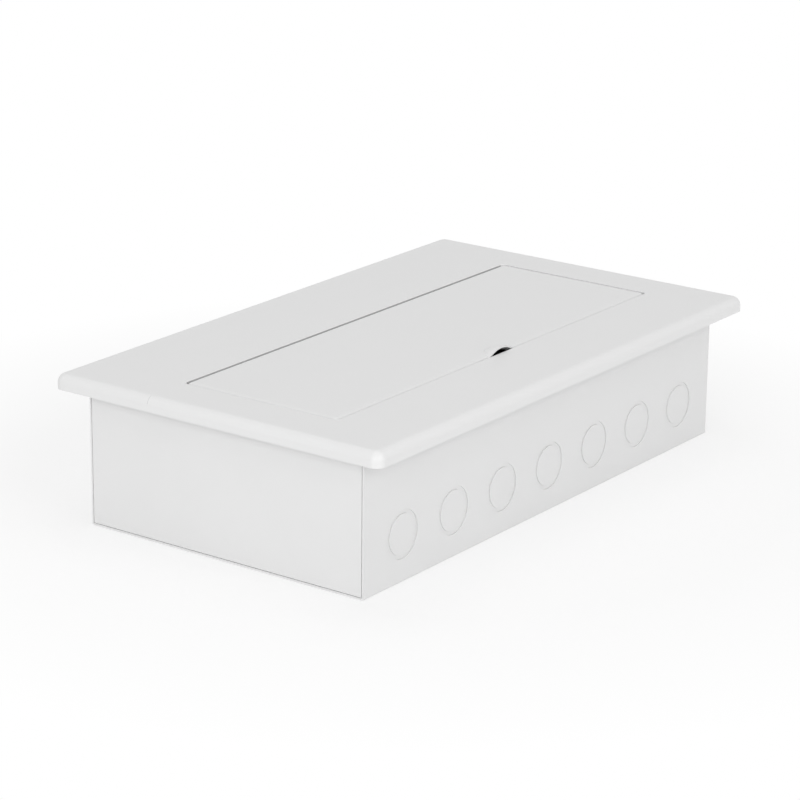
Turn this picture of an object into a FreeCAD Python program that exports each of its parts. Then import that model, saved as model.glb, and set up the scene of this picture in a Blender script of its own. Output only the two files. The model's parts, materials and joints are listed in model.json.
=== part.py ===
"""Flush-mounted fibre termination box: steel base, moulded cover with a hinged door, adapters and splice tray.

Frame: millimetres, +X along the long side, +Z out of the front face, origin at the middle of the back.
"""
import FreeCAD, Part
import math
import os
import Sketcher

# Driving dimensions in millimetres: name, value.
DRIVING = (
    # Front cover
    ("cover_long", 420.0),
    ("cover_short", 254.0),
    ("cover_edge", 10.0),
    ("cover_corner", 7.0),
    ("cover_pillow", 6.0),
    ("cover_wall", 2.5),
    ("rib_wall", 2.0),
    ("recess_depth", 8.0),
    ("ledge_thick", 2.5),
    ("end_ledge", 22.0),
    ("side_ledge", 12.0),
    ("soft_edge", 0.5),
    # Base box
    ("end_overhang", 12.0),
    ("side_overhang", 19.5),
    ("base_depth", 90.0),
    ("base_rise", 4.0),
    ("base_flange", 12.0),
    ("base_sheet", 1.2),
    ("bend_radius", 1.0),
    ("end_frame", 8.0),
    ("end_seam", 0.45),
    ("knockout_pitch", 53.0),
    ("knockout_height", 30.8),
    ("knockout_outer", 31.6),
    ("knockout_inner", 26.4),
    ("knockout_step", 0.7),
    ("fixing_end_margin", 38.0),
    ("fixing_side_margin", 13.5),
    ("fixing_hole", 5.5),
    # Door
    ("door_end_margin", 35.5),
    ("door_front_margin", 57.75),
    ("door_rear_margin", 78.25),
    ("door_plate", 2.5),
    ("door_thick", 5.0),
    ("door_corner", 3.0),
    ("door_gap", 0.8),
    ("door_rim", 2.0),
    ("door_rib", 1.2),
    ("hinge_inset", 3.0),
    ("hinge_pin", 2.5),
    ("hinge_pin_length", 14.0),
    ("hinge_pin_grip", 8.0),
    ("lift_half_width", 10.25),
    ("lift_height", 2.5),
    ("lift_reach", 9.0),
    ("lift_wall", 1.15),
    ("lift_margin", 7.0),
    # Door catch
    ("catch_spacing", 200.0),
    ("catch_long", 18.0),
    ("catch_wide", 7.0),
    ("catch_seat", 0.8),
    ("catch_plate", 0.8),
    ("catch_gap", 0.4),
    # Cover brackets
    ("bracket_sheet", 1.5),
    ("bracket_wide", 100.0),
    ("bracket_foot", 14.0),
    ("bracket_bolt_spacing", 60.0),
    ("cover_bolt_spacing", 76.0),
    # Mounting plate
    ("plate_end_margin", 48.0),
    ("plate_side_margin", 22.5),
    ("plate_sheet", 1.5),
    ("plate_lift", 6.0),
    ("plate_bolt_end", 10.0),
    ("plate_bolt_side", 23.0),
    # Adapters
    ("adapter_pitch", 18.0),
    ("adapter_wide", 9.3),
    ("adapter_tall", 12.8),
    ("adapter_long", 27.0),
    ("adapter_flange", 22.0),
    ("adapter_flange_thick", 2.0),
    ("adapter_side_wall", 0.9),
    ("adapter_end_wall", 1.6),
    ("adapter_web", 3.0),
    ("clip_sheet", 0.5),
    ("clip_deep", 5.0),
    ("cap_lid", 2.0),
    ("cap_plug", 8.0),
    ("cap_grip", 7.0),
    ("cap_grip_thick", 2.4),
    ("panel_margin", 45.0),
    ("panel_long", 230.0),
    ("panel_tall", 40.0),
    ("panel_foot", 18.0),
    ("panel_bolt_spacing", 100.0),
    # Splice tray
    ("tray_long", 160.0),
    ("tray_wide", 84.0),
    ("tray_floor", 1.6),
    ("tray_tall", 11.0),
    ("tray_hinge_margin", 5.0),
    ("tray_hinge_rise", 8.3),
    ("tray_hinge_pin", 3.0),
    ("tray_lid", 1.4),
    ("tray_hub", 20.0),
    ("hub_arm", 7.0),
    ("hub_arm_overhang", 2.0),
    ("tray_hub_spacing", 90.0),
    ("tray_rest_gap", 0.3),
    # Cable and fibre management
    ("spool_radius", 20.0),
    ("spool_flange", 27.0),
    ("spool_tall", 16.0),
    ("spool_wall", 1.8),
    ("spool_lip", 2.0),
    ("spool_margin", 32.0),
    ("spool_place", 30.0),
    ("saddle_margin", 9.0),
    ("saddle_bore", 6.0),
    ("saddle_sheet", 1.2),
    ("saddle_wide", 12.0),
    ("saddle_foot", 9.0),
    ("saddle_bolt_out", 5.0),
    ("post_end_margin", 18.0),
    ("post_side_margin", 7.0),
    ("post_across", 8.0),
    ("post_tall", 15.0),
    ("post_hole_height", 10.0),
    ("anchor_long", 18.0),
    ("anchor_wide", 14.0),
    ("anchor_base", 2.0),
    ("anchor_bridge", 9.0),
    ("anchor_tall", 6.0),
    ("tie_slot_wide", 5.6),
    ("tie_slot_tall", 2.0),
    ("earth_end_margin", 16.0),
    ("earth_side_margin", 19.5),
    # Holes that fasteners pass through
    ("screw_hole", 3.2),
    ("bolt_hole", 4.5),
    ("plate_hole", 5.5),
    # Clearances
    ("pin_clearance", 0.05),
    ("thread_clearance", 0.05),
    ("seat_clearance", 0.4),
)

ADAPTERS = 12
KNOCKOUTS = 7

DOCUMENT = FreeCAD.newDocument("FibreTerminationBox")
PARTS = []


class Size:
    """A length: its number now, and the expression that ties it to the sheet."""

    def __init__(self, value, text):
        self.value = value
        self.text = text

    def __add__(self, other):
        other = size_of(other)
        return Size(self.value + other.value, "(" + self.text + " + " + other.text + ")")

    def __sub__(self, other):
        other = size_of(other)
        return Size(self.value - other.value, "(" + self.text + " - " + other.text + ")")

    def __mul__(self, other):
        other = size_of(other)
        return Size(self.value * other.value, "(" + self.text + " * " + other.text + ")")

    def __truediv__(self, other):
        other = size_of(other)
        return Size(self.value / other.value, "(" + self.text + " / " + other.text + ")")

    def __radd__(self, other):
        return size_of(other) + self

    def __rsub__(self, other):
        return size_of(other) - self

    def __rmul__(self, other):
        return size_of(other) * self

    def __neg__(self):
        return Size(-self.value, "(-" + self.text + ")")


def size_of(item):
    """Take a plain number as a size with no tie."""
    if isinstance(item, Size):
        return item
    return Size(float(item), "(" + repr(float(item)) + ")")


class Sheet:
    """The driving dimensions, as a spreadsheet and as sizes with the same names."""

    def __init__(self, rows):
        self.sheet = DOCUMENT.addObject("Spreadsheet::Sheet", "Sizes")
        for line, (name, value) in enumerate(rows, start=1):
            self.sheet.set("A%d" % line, name.replace("_", " "))
            self.sheet.set("B%d" % line, repr(value))
            self.sheet.setAlias("B%d" % line, name)
            setattr(self, name, Size(value, "Sizes." + name))
        DOCUMENT.recompute()


S = Sheet(DRIVING)

# Sizes that follow from the cover's and from the margins.
BASE_LONG = S.cover_long - 2 * S.end_overhang
BASE_SHORT = S.cover_short - 2 * S.side_overhang
FIXING_SPACING_LONG = BASE_LONG - 2 * S.fixing_end_margin
FIXING_SPACING_SHORT = BASE_SHORT - 2 * S.fixing_side_margin
DOOR_LONG = S.cover_long - 2 * S.door_end_margin
DOOR_WIDE = S.cover_short - S.door_front_margin - S.door_rear_margin
DOOR_SHIFT = (S.door_front_margin - S.door_rear_margin) / 2
PLATE_LONG = BASE_LONG - 2 * S.plate_end_margin
PLATE_WIDE = BASE_SHORT - 2 * S.plate_side_margin
PLATE_BOLT_LONG = PLATE_LONG - 2 * S.plate_bolt_end
PLATE_BOLT_WIDE = PLATE_WIDE - 2 * S.plate_bolt_side
PANEL_PLACE = S.panel_margin - PLATE_WIDE / 2
TRAY_HINGE_PLACE = PLATE_WIDE / 2 - S.tray_hinge_margin
SPOOL_SPACING = PLATE_LONG - 2 * S.spool_margin
SADDLE_SPACING_LONG = 4 * S.knockout_pitch
SADDLE_SPACING_WIDE = PLATE_WIDE - 2 * S.saddle_margin
POST_SPACING = PLATE_LONG - 2 * S.post_end_margin
POST_PLACE = PLATE_WIDE / 2 - S.post_side_margin
EARTH_X = BASE_LONG / 2 - S.earth_end_margin
EARTH_Y = BASE_SHORT / 2 - S.earth_side_margin

# Levels and places that several pieces share.
FACE = S.base_depth + S.cover_edge
BASE_TOP = S.base_depth + S.base_rise
LEDGE_TOP = FACE - S.recess_depth
LEDGE_UNDER = LEDGE_TOP - S.ledge_thick
PLATE_UNDER = S.base_sheet + S.plate_lift
PLATE_TOP = PLATE_UNDER + S.plate_sheet
HINGE_Y = DOOR_SHIFT + DOOR_WIDE / 2 - S.hinge_inset
HINGE_Z = FACE - S.hinge_inset
DOOR_FRONT_Y = DOOR_SHIFT - DOOR_WIDE / 2
WINDOW_LONG = DOOR_LONG - 2 * S.end_ledge
WINDOW_WIDE = DOOR_WIDE - 2 * S.side_ledge
COVER_BOLT_X = DOOR_LONG / 2 - S.end_ledge / 2
BRACKET_WEB_X = COVER_BOLT_X + 12
BRACKET_BOLT_X = BRACKET_WEB_X + S.bracket_sheet + 6.5
CATCH_Y = DOOR_FRONT_Y + S.door_rim + 0.75 + S.catch_wide / 2
CATCH_TOP = FACE - S.door_plate - S.catch_plate - S.catch_gap
ADAPTER_Z = PLATE_TOP + 22
ADAPTER_FIRST_X = S.adapter_pitch * (1 - ADAPTERS) / 2
PANEL_BACK_Y = PANEL_PLACE + S.bracket_sheet
TRAY_HINGE_Z = PLATE_TOP + S.tray_hinge_rise
TRAY_DROP = S.hinge_inset
TRAY_RIM = S.tray_tall - TRAY_DROP
EAR_X = S.tray_long / 2 + 1


def bind(item, path, size):
    """Tie one property of an object to the sheet."""
    item.setExpression(path, size_of(size).text)


def place(item, x=0, y=0, z=0):
    bind(item, "Placement.Base.x", x)
    bind(item, "Placement.Base.y", y)
    bind(item, "Placement.Base.z", z)


def keep(item, name):
    """Give a finished sub-part its name and put it on the list to write."""
    item.Label = name
    PARTS.append(item)
    return item


def new_body(name, x=0, y=0, z=0):
    body = DOCUMENT.addObject("PartDesign::Body", name)
    body.AllowCompound = True
    place(body, x, y, z)
    return keep(body, name)


def origin_feature(body, role):
    return next(item for item in body.Origin.OriginFeatures if item.Role == role)


def new_sketch(body, role, height=0):
    """A sketch on one of the body's own planes, moved along that plane's normal.

    The XY plane's normal is +Z, the XZ plane's is -Y and the YZ plane's is +X.
    """
    sketch = body.newObject("Sketcher::SketchObject", body.Name + "_sketch")
    sketch.AttachmentSupport = [(origin_feature(body, role), "")]
    sketch.MapMode = "FlatFace"
    bind(sketch, "AttachmentOffset.Base.z", height)
    return sketch


def hold_point(sketch, geometry, point, x, y):
    """Fix a sketch point at x, y from the sketch's origin."""
    for kind, axis, size in (("DistanceX", -2, size_of(x)), ("DistanceY", -1, size_of(y))):
        if abs(size.value) < 1e-9:
            sketch.addConstraint(Sketcher.Constraint("PointOnObject", geometry, point, axis))
            continue
        index = sketch.addConstraint(Sketcher.Constraint(kind, -1, 1, geometry, point, size.value))
        sketch.renameConstraint(index, "place%d" % index)
        bind(sketch, "Constraints.place%d" % index, size)


def outline(sketch, corners):
    """A closed run of straight lines through the corners."""
    corners = [(size_of(x), size_of(y)) for x, y in corners]
    ends = [FreeCAD.Vector(x.value, y.value, 0) for x, y in corners]
    lines = [
        sketch.addGeometry(Part.LineSegment(ends[i], ends[(i + 1) % len(ends)]), False)
        for i in range(len(ends))
    ]
    for i, line in enumerate(lines):
        sketch.addConstraint(Sketcher.Constraint("Coincident", line, 2, lines[(i + 1) % len(lines)], 1))
        hold_point(sketch, line, 1, corners[i][0], corners[i][1])


def rectangle(sketch, x_low, x_high, y_low, y_high):
    outline(sketch, ((x_low, y_low), (x_high, y_low), (x_high, y_high), (x_low, y_high)))


def centred_rectangle(sketch, long, wide, x=0, y=0):
    x, y, long, wide = size_of(x), size_of(y), size_of(long), size_of(wide)
    rectangle(sketch, x - long / 2, x + long / 2, y - wide / 2, y + wide / 2)


def rounded_rectangle(sketch, long, wide, radius):
    """A rectangle about the sketch's origin with round corners."""
    radius = size_of(radius)
    arcs, starts, ends = [], [], []
    for turn, (side, end) in enumerate(((1, 1), (-1, 1), (-1, -1), (1, -1))):
        centre = ((long / 2 - radius) * side, (wide / 2 - radius) * end)
        flat = (long / 2 * side, centre[1])
        high = (centre[0], wide / 2 * end)
        middle = FreeCAD.Vector(centre[0].value, centre[1].value, 0)
        round_line = Part.Circle(middle, FreeCAD.Vector(0, 0, 1), radius.value)
        arc = Part.ArcOfCircle(round_line, math.pi / 2 * turn, math.pi / 2 * (turn + 1))
        arcs.append(sketch.addGeometry(arc, False))
        starts.append(flat if turn % 2 == 0 else high)
        ends.append(high if turn % 2 == 0 else flat)
    for turn, arc in enumerate(arcs):
        following = (turn + 1) % 4
        near, far = ends[turn], starts[following]
        corners = [FreeCAD.Vector(x.value, y.value, 0) for x, y in (near, far)]
        line = sketch.addGeometry(Part.LineSegment(*corners), False)
        hold_point(sketch, line, 1, *near)
        hold_point(sketch, line, 2, *far)
        sketch.addConstraint(Sketcher.Constraint("Coincident", arc, 2, line, 1))
        sketch.addConstraint(Sketcher.Constraint("Coincident", arcs[following], 1, line, 2))
        index = sketch.addConstraint(Sketcher.Constraint("Radius", arc, radius.value))
        sketch.renameConstraint(index, "round%d" % index)
        bind(sketch, "Constraints.round%d" % index, radius)


def circle(sketch, x, y, radius):
    radius = size_of(radius)
    centre = FreeCAD.Vector(size_of(x).value, size_of(y).value, 0)
    ring = sketch.addGeometry(Part.Circle(centre, FreeCAD.Vector(0, 0, 1), radius.value), False)
    hold_point(sketch, ring, 3, x, y)
    index = sketch.addConstraint(Sketcher.Constraint("Radius", ring, radius.value))
    sketch.renameConstraint(index, "radius%d" % index)
    bind(sketch, "Constraints.radius%d" % index, radius)


def hexagon(sketch, across_flats):
    """A hexagon about the sketch's origin, with two corners on its X axis."""
    reach = size_of(across_flats) / 3 ** 0.5
    turns = [math.radians(60 * k) for k in range(6)]
    outline(sketch, [(reach * round(math.cos(t), 9), reach * round(math.sin(t), 9)) for t in turns])


def cross_outline(sketch, reach, arm):
    """A plus sign about the sketch's origin."""
    near, far = size_of(arm) / 2, size_of(reach)
    outline(sketch, (
        (far, -near), (far, near), (near, near), (near, far), (-near, far), (-near, near),
        (-far, near), (-far, -near), (-near, -near), (-near, -far), (near, -far), (near, -near),
    ))


def settle(body, feature, grows):
    """Recompute and make sure that the feature changed the volume the right way."""
    before = body.Tip.Shape.Volume if body.Tip and body.Tip != feature else None
    body.Tip = feature
    DOCUMENT.recompute()
    after = feature.Shape.Volume
    if before is not None and (after <= before if grows else after >= before):
        raise RuntimeError(feature.Name + " did not change its body as meant")
    return feature


def pad(body, sketch, length, backwards=False, both_ways=False):
    previous = body.Tip
    feature = body.newObject("PartDesign::Pad", body.Name + "_pad")
    feature.Profile = (sketch, [""])
    feature.Reversed = backwards
    feature.Midplane = both_ways
    bind(feature, "Length", length)
    body.Tip = previous
    return settle(body, feature, True)


def pocket(body, sketch, length, backwards=False, both_ways=False):
    """Cut against the sketch's normal, or along it when backwards is set."""
    previous = body.Tip
    feature = body.newObject("PartDesign::Pocket", body.Name + "_pocket")
    feature.Profile = (sketch, [""])
    feature.Reversed = backwards
    feature.Midplane = both_ways
    bind(feature, "Length", length)
    body.Tip = previous
    return settle(body, feature, False)


def revolve(body, sketch):
    """A full turn about the sketch's vertical axis."""
    previous = body.Tip
    feature = body.newObject("PartDesign::Revolution", body.Name + "_turn")
    feature.Profile = (sketch, [""])
    feature.ReferenceAxis = (sketch, ["V_Axis"])
    feature.Angle = 360
    body.Tip = previous
    return settle(body, feature, True)


def round_edges(body, wanted, radius):
    """Round each edge of the body that the test picks."""
    base = body.Tip
    names = ["Edge%d" % (i + 1) for i, edge in enumerate(base.Shape.Edges) if wanted(edge)]
    if not names:
        raise RuntimeError(body.Name + " has no edge to round")
    feature = body.newObject("PartDesign::Fillet", body.Name + "_round")
    feature.Base = (base, names)
    bind(feature, "Radius", radius)
    body.Tip = feature
    DOCUMENT.recompute()
    return feature


def repeat(body, steps, originals=()):
    """Copy features, or the whole shape, along one or two axes: (axis, length, count) each."""
    base = body.Tip
    feature = body.newObject("PartDesign::LinearPattern", body.Name + "_row")
    if originals:
        feature.Originals = list(originals)
    else:
        feature.TransformMode = "Whole shape"
        feature.BaseFeature = base
    for suffix, (axis, length, count) in zip(("", "2"), steps):
        setattr(feature, "Direction" + suffix, (origin_feature(body, axis), [""]))
        bind(feature, "Length" + suffix, length)
        setattr(feature, "Occurrences" + suffix, count)
    body.Tip = feature
    DOCUMENT.recompute()
    return feature


def is_upright(edge):
    box = edge.BoundBox
    return box.ZLength > 1e-3 and box.XLength < 1e-6 and box.YLength < 1e-6


def upright_at(half_long, half_wide, middle=0):
    """Pick the upright edges at the corners of a rectangle about (0, middle)."""
    def wanted(edge):
        centre = edge.CenterOfMass
        return (
            is_upright(edge)
            and abs(abs(centre.x) - size_of(half_long).value) < 1e-3
            and abs(abs(centre.y - size_of(middle).value) - size_of(half_wide).value) < 1e-3
        )
    return wanted


def level_at(height, within=None):
    """Pick the edges that lie flat at a height, within the half sizes of a rectangle if given."""
    level = size_of(height).value

    def wanted(edge):
        box = edge.BoundBox
        flat = abs(box.ZMin - level) < 1e-3 and abs(box.ZMax - level) < 1e-3
        if not flat or within is None:
            return flat
        long, wide, middle = [size_of(item).value for item in within]
        centre = edge.CenterOfMass
        return abs(centre.x) < long + 1e-3 and abs(centre.y - middle) < wide + 1e-3
    return wanted


# Fasteners


def screw(name, x, y, z, steps_list, shank, length, head, head_tall):
    """Pan-head screws with a cross recess: z is the face under the head."""
    body = new_body(name, x, y, z)
    profile = new_sketch(body, "XZ_Plane")
    crown = size_of(head_tall) * 0.6
    outline(profile, (
        (0, -size_of(length)), (size_of(shank) / 2, -size_of(length)), (size_of(shank) / 2, 0),
        (size_of(head) / 2, 0), (size_of(head) / 2, crown), (size_of(head) * 0.36, head_tall), (0, head_tall),
    ))
    revolve(body, profile)
    recess = new_sketch(body, "XY_Plane", head_tall)
    cross_outline(recess, size_of(head) * 0.27, size_of(head) * 0.12)
    pocket(body, recess, crown)
    for steps in steps_list:
        repeat(body, steps)
    return body


def nut(name, x, y, z, steps_list, across, bore, tall):
    body = new_body(name, x, y, z)
    flat = new_sketch(body, "XY_Plane")
    hexagon(flat, across)
    circle(flat, 0, 0, size_of(bore) / 2 + S.thread_clearance)
    pad(body, flat, tall)
    for steps in steps_list:
        repeat(body, steps)
    return body


def washer(name, x, y, z, steps_list, outer, bore, thick):
    body = new_body(name, x, y, z)
    flat = new_sketch(body, "XY_Plane")
    circle(flat, 0, 0, size_of(outer) / 2)
    circle(flat, 0, 0, size_of(bore) / 2 + S.thread_clearance)
    pad(body, flat, thick)
    for steps in steps_list:
        repeat(body, steps)
    return body


def stud(name, x, y, z, steps_list, shank, tall, shoulder=None, shoulder_tall=None):
    """Weld studs, with or without a shoulder that the next piece rests on."""
    body = new_body(name, x, y, z)
    profile = new_sketch(body, "XZ_Plane")
    side, tip = size_of(shank) / 2, size_of(shank) * 0.38
    foot = [(0, 0), (side, 0)]
    if shoulder is not None:
        edge = size_of(shoulder) / 2
        foot = [(0, 0), (edge, 0), (edge, shoulder_tall), (side, shoulder_tall)]
    outline(profile, foot + [(side, size_of(tall) - 0.6), (tip, tall), (0, tall)])
    revolve(body, profile)
    for steps in steps_list:
        repeat(body, steps)
    return body


def corners_of(long, wide):
    """The pattern that copies a first corner to all four of a rectangle."""
    return [(("X_Axis", long, 2), ("Y_Axis", wide, 2))]


def pair_of(long):
    return [(("X_Axis", long, 2),)]


# Base and its brackets


def knockout_row(body, wall_y, outwards):
    """One row of two-size knockouts: the band between the two circles is pushed in by half a sheet."""
    first = -S.knockout_pitch * (KNOCKOUTS - 1) / 2
    outer, inner = S.knockout_outer / 2, S.knockout_inner / 2
    groove = new_sketch(body, "XZ_Plane", wall_y)
    circle(groove, first, S.knockout_height, outer)
    circle(groove, first, S.knockout_height, inner)
    cut = pocket(body, groove, S.knockout_step, backwards=not outwards)
    inside = wall_y - S.base_sheet if outwards else wall_y + S.base_sheet
    band = new_sketch(body, "XZ_Plane", inside)
    circle(band, first, S.knockout_height, outer)
    circle(band, first, S.knockout_height, inner)
    raised = pad(body, band, S.knockout_step, backwards=outwards)
    span = S.knockout_pitch * (KNOCKOUTS - 1)
    repeat(body, (("X_Axis", span, KNOCKOUTS),), (cut, raised))


def make_base_box():
    """Back and long walls folded from one sheet, open at both short ends."""
    body = new_body("base_box")
    through = BASE_LONG + 2
    block = new_sketch(body, "XY_Plane")
    centred_rectangle(block, BASE_LONG, BASE_SHORT)
    pad(body, block, BASE_TOP)
    mouth = new_sketch(body, "XY_Plane", BASE_TOP)
    centred_rectangle(mouth, through, BASE_SHORT - 2 * S.base_flange)
    pocket(body, mouth, BASE_TOP - S.base_sheet)
    inside = new_sketch(body, "XY_Plane", BASE_TOP - S.base_sheet)
    centred_rectangle(inside, through, BASE_SHORT - 2 * S.base_sheet)
    pocket(body, inside, BASE_TOP - 2 * S.base_sheet)
    half = BASE_SHORT.value / 2

    def long_fold(edge):
        box = edge.BoundBox
        return box.ZMax < 1e-3 and box.XLength > 1 and abs(abs(box.YMin) - half) < 1e-3

    round_edges(body, long_fold, S.bend_radius)
    holes = new_sketch(body, "XY_Plane", S.base_sheet)
    for side in (-1, 1):
        for end in (-1, 1):
            x, y = FIXING_SPACING_LONG / 2 * side, FIXING_SPACING_SHORT / 2 * end
            circle(holes, x, y, S.fixing_hole / 2)
    pocket(body, holes, S.base_sheet)
    knockout_row(body, BASE_SHORT / 2, True)
    knockout_row(body, -BASE_SHORT / 2, False)


def make_end_frame(name, side):
    """Flat frame welded inside one open end of the fold, which the end plate sits against."""
    body = new_body(name)
    wide, tall = BASE_SHORT - 2 * S.base_sheet, BASE_TOP - 2 * S.base_sheet
    face = new_sketch(body, "YZ_Plane", (BASE_LONG / 2 - S.base_sheet) * side)
    centred_rectangle(face, wide, tall, 0, BASE_TOP / 2)
    centred_rectangle(face, wide - 2 * S.end_frame, tall - 2 * S.end_frame, 0, BASE_TOP / 2)
    pad(body, face, S.base_sheet, backwards=side > 0)


def make_end_plate(name, side):
    """Flat plate set into one end of the fold against the end frame, with a fine seam all round."""
    body = new_body(name)
    inset = 2 * (S.base_sheet + S.end_seam)
    face = new_sketch(body, "YZ_Plane", BASE_LONG / 2 * side)
    centred_rectangle(face, BASE_SHORT - inset, BASE_TOP - inset, 0, BASE_TOP / 2)
    pad(body, face, S.base_sheet, backwards=side > 0)


def make_cover_bracket(name, side):
    """Z-shaped bracket at one end of the base that carries the cover's screws."""
    body = new_body(name, 0, DOOR_SHIFT, 0)
    sheet = S.bracket_sheet
    low, top = S.base_sheet, LEDGE_UNDER
    profile = new_sketch(body, "XZ_Plane")
    corners = (
        (BRACKET_WEB_X, low), (BRACKET_WEB_X + S.bracket_foot, low),
        (BRACKET_WEB_X + S.bracket_foot, low + sheet), (BRACKET_WEB_X + sheet, low + sheet),
        (BRACKET_WEB_X + sheet, top), (COVER_BOLT_X - 8, top),
        (COVER_BOLT_X - 8, top - sheet), (BRACKET_WEB_X, top - sheet),
    )
    outline(profile, [(x * side, z) for x, z in corners])
    pad(body, profile, S.bracket_wide, both_ways=True)
    bolt_holes = new_sketch(body, "XY_Plane", top)
    for end in (-1, 1):
        circle(bolt_holes, COVER_BOLT_X * side, S.cover_bolt_spacing / 2 * end, S.bolt_hole / 2)
    pocket(body, bolt_holes, sheet)
    foot_holes = new_sketch(body, "XY_Plane", low + sheet)
    for end in (-1, 1):
        circle(foot_holes, BRACKET_BOLT_X * side, S.bracket_bolt_spacing / 2 * end, S.bolt_hole / 2)
    pocket(body, foot_holes, sheet)
    window = new_sketch(body, "YZ_Plane", (BRACKET_WEB_X + sheet) * side)
    centred_rectangle(window, 38, 36, 0, (low + top) / 2)
    pocket(body, window, sheet, backwards=side < 0)


# Front cover and door


def ring(body, sketch, long, wide, wall, middle=0):
    """Two rectangles, one inside the other by the wall."""
    centred_rectangle(sketch, long, wide, 0, middle)
    centred_rectangle(sketch, long - 2 * wall, wide - 2 * wall, 0, middle)


def make_front_cover():
    body = new_body("front_cover", 0, 0, S.base_depth)
    ceiling = S.cover_edge - S.cover_wall
    recess_long, recess_wide = DOOR_LONG + 2 * S.door_gap, DOOR_WIDE + 2 * S.door_gap
    slab = new_sketch(body, "XY_Plane")
    centred_rectangle(slab, S.cover_long, S.cover_short)
    pad(body, slab, S.cover_edge)
    round_edges(body, upright_at(S.cover_long / 2, S.cover_short / 2), S.cover_corner)
    round_edges(body, level_at(S.cover_edge), S.cover_pillow)
    hollow_long, hollow_wide = S.cover_long - 2 * S.cover_wall, S.cover_short - 2 * S.cover_wall
    hollow = new_sketch(body, "XY_Plane")
    rounded_rectangle(hollow, hollow_long, hollow_wide, S.cover_corner - S.cover_wall)
    pocket(body, hollow, ceiling, backwards=True)
    round_edges(body, level_at(ceiling), S.cover_pillow - S.cover_wall)

    frame = new_sketch(body, "XY_Plane", ceiling)
    centred_rectangle(frame, recess_long + 2 * S.rib_wall, recess_wide + 2 * S.rib_wall, 0, DOOR_SHIFT)
    pad(body, frame, ceiling - (LEDGE_UNDER - S.base_depth), backwards=True)
    bosses = new_sketch(body, "XY_Plane", ceiling)
    for side in (-1, 1):
        centre = (recess_long / 2 + S.rib_wall + 2.5) * side
        centred_rectangle(bosses, 5, 9, centre, HINGE_Y)
    pad(body, bosses, 5, backwards=True)
    seat = new_sketch(body, "XY_Plane", ceiling)
    ring(body, seat, BASE_LONG - 8, BASE_SHORT - 8, S.rib_wall)
    pad(body, seat, ceiling - S.base_rise, backwards=True)
    guide = new_sketch(body, "XY_Plane", ceiling)
    reach = 2 * (S.seat_clearance + S.rib_wall)
    ring(body, guide, BASE_LONG + reach, BASE_SHORT + reach, S.rib_wall)
    pad(body, guide, ceiling - 1, backwards=True)

    recess = new_sketch(body, "XY_Plane", S.cover_edge)
    centred_rectangle(recess, recess_long, recess_wide, 0, DOOR_SHIFT)
    pocket(body, recess, S.recess_depth)
    round_edges(body, upright_at(recess_long / 2, recess_wide / 2, DOOR_SHIFT), S.door_corner + S.door_gap)
    within = (recess_long / 2, recess_wide / 2, DOOR_SHIFT)
    round_edges(body, level_at(S.cover_edge, within), S.soft_edge)
    ledge = LEDGE_TOP - S.base_depth
    window = new_sketch(body, "XY_Plane", ledge)
    centred_rectangle(window, WINDOW_LONG, WINDOW_WIDE, 0, DOOR_SHIFT)
    for side in (-1, 1):
        for end in (-1, 1):
            circle(window, COVER_BOLT_X * side, DOOR_SHIFT + S.cover_bolt_spacing / 2 * end, S.bolt_hole / 2)
    pocket(body, window, S.ledge_thick)
    seats = new_sketch(body, "XY_Plane", ledge)
    for side in (-1, 1):
        centred_rectangle(seats, S.catch_long, S.catch_wide, S.catch_spacing / 2 * side, CATCH_Y)
    pocket(body, seats, S.catch_seat)
    bore = new_sketch(body, "YZ_Plane")
    circle(bore, HINGE_Y, HINGE_Z - S.base_depth, S.hinge_pin / 2 + 0.01)
    pin_span = DOOR_LONG - 2 * S.hinge_pin_grip + 2 * S.hinge_pin_length
    pocket(body, bore, pin_span, both_ways=True)


def make_door_leaf():
    """The flat leaf with its rim, ribs and round hinge edge, before the finger lift."""
    body = DOCUMENT.addObject("PartDesign::Body", "door_leaf")
    place(body, 0, DOOR_SHIFT, FACE)
    slab = new_sketch(body, "XY_Plane")
    centred_rectangle(slab, DOOR_LONG, DOOR_WIDE)
    pad(body, slab, S.door_thick, backwards=True)
    round_edges(body, upright_at(DOOR_LONG / 2, DOOR_WIDE / 2), S.door_corner)
    hollow = new_sketch(body, "XY_Plane", -S.door_thick)
    long, wide = DOOR_LONG / 2 - S.door_rim, DOOR_WIDE / 2
    rectangle(hollow, -long, long, S.door_rim - wide, wide - 2 * S.hinge_inset)
    pocket(body, hollow, S.door_thick - S.door_plate, backwards=True)

    def hinge_edge(height):
        def wanted(edge):
            centre = edge.CenterOfMass
            level = abs(centre.z - size_of(height).value) < 1e-3
            return level and abs(centre.y - wide.value) < 1e-3 and edge.BoundBox.XLength > 1
        return wanted

    round_edges(body, hinge_edge(0), S.hinge_inset - 0.1)
    round_edges(body, hinge_edge(-S.door_thick), S.door_thick - S.hinge_inset - 0.1)
    ribs = new_sketch(body, "XY_Plane", -S.door_plate)
    for place_x in (-0.3, -0.1, 0.1, 0.3):
        x = DOOR_LONG * place_x
        rectangle(ribs, x - S.door_rib / 2, x + S.door_rib / 2, 16 - wide, wide - 2 * S.hinge_inset)
    pad(body, ribs, 1.6, backwards=True)
    bore = new_sketch(body, "YZ_Plane", -DOOR_LONG / 2)
    circle(bore, wide - S.hinge_inset, -S.hinge_inset, S.hinge_pin / 2 + S.pin_clearance)
    pocket(body, bore, S.hinge_pin_grip + 0.5, backwards=True)
    far_bore = new_sketch(body, "YZ_Plane", DOOR_LONG / 2)
    circle(far_bore, wide - S.hinge_inset, -S.hinge_inset, S.hinge_pin / 2 + S.pin_clearance)
    pocket(body, far_bore, S.hinge_pin_grip + 0.5)
    return body


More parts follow.
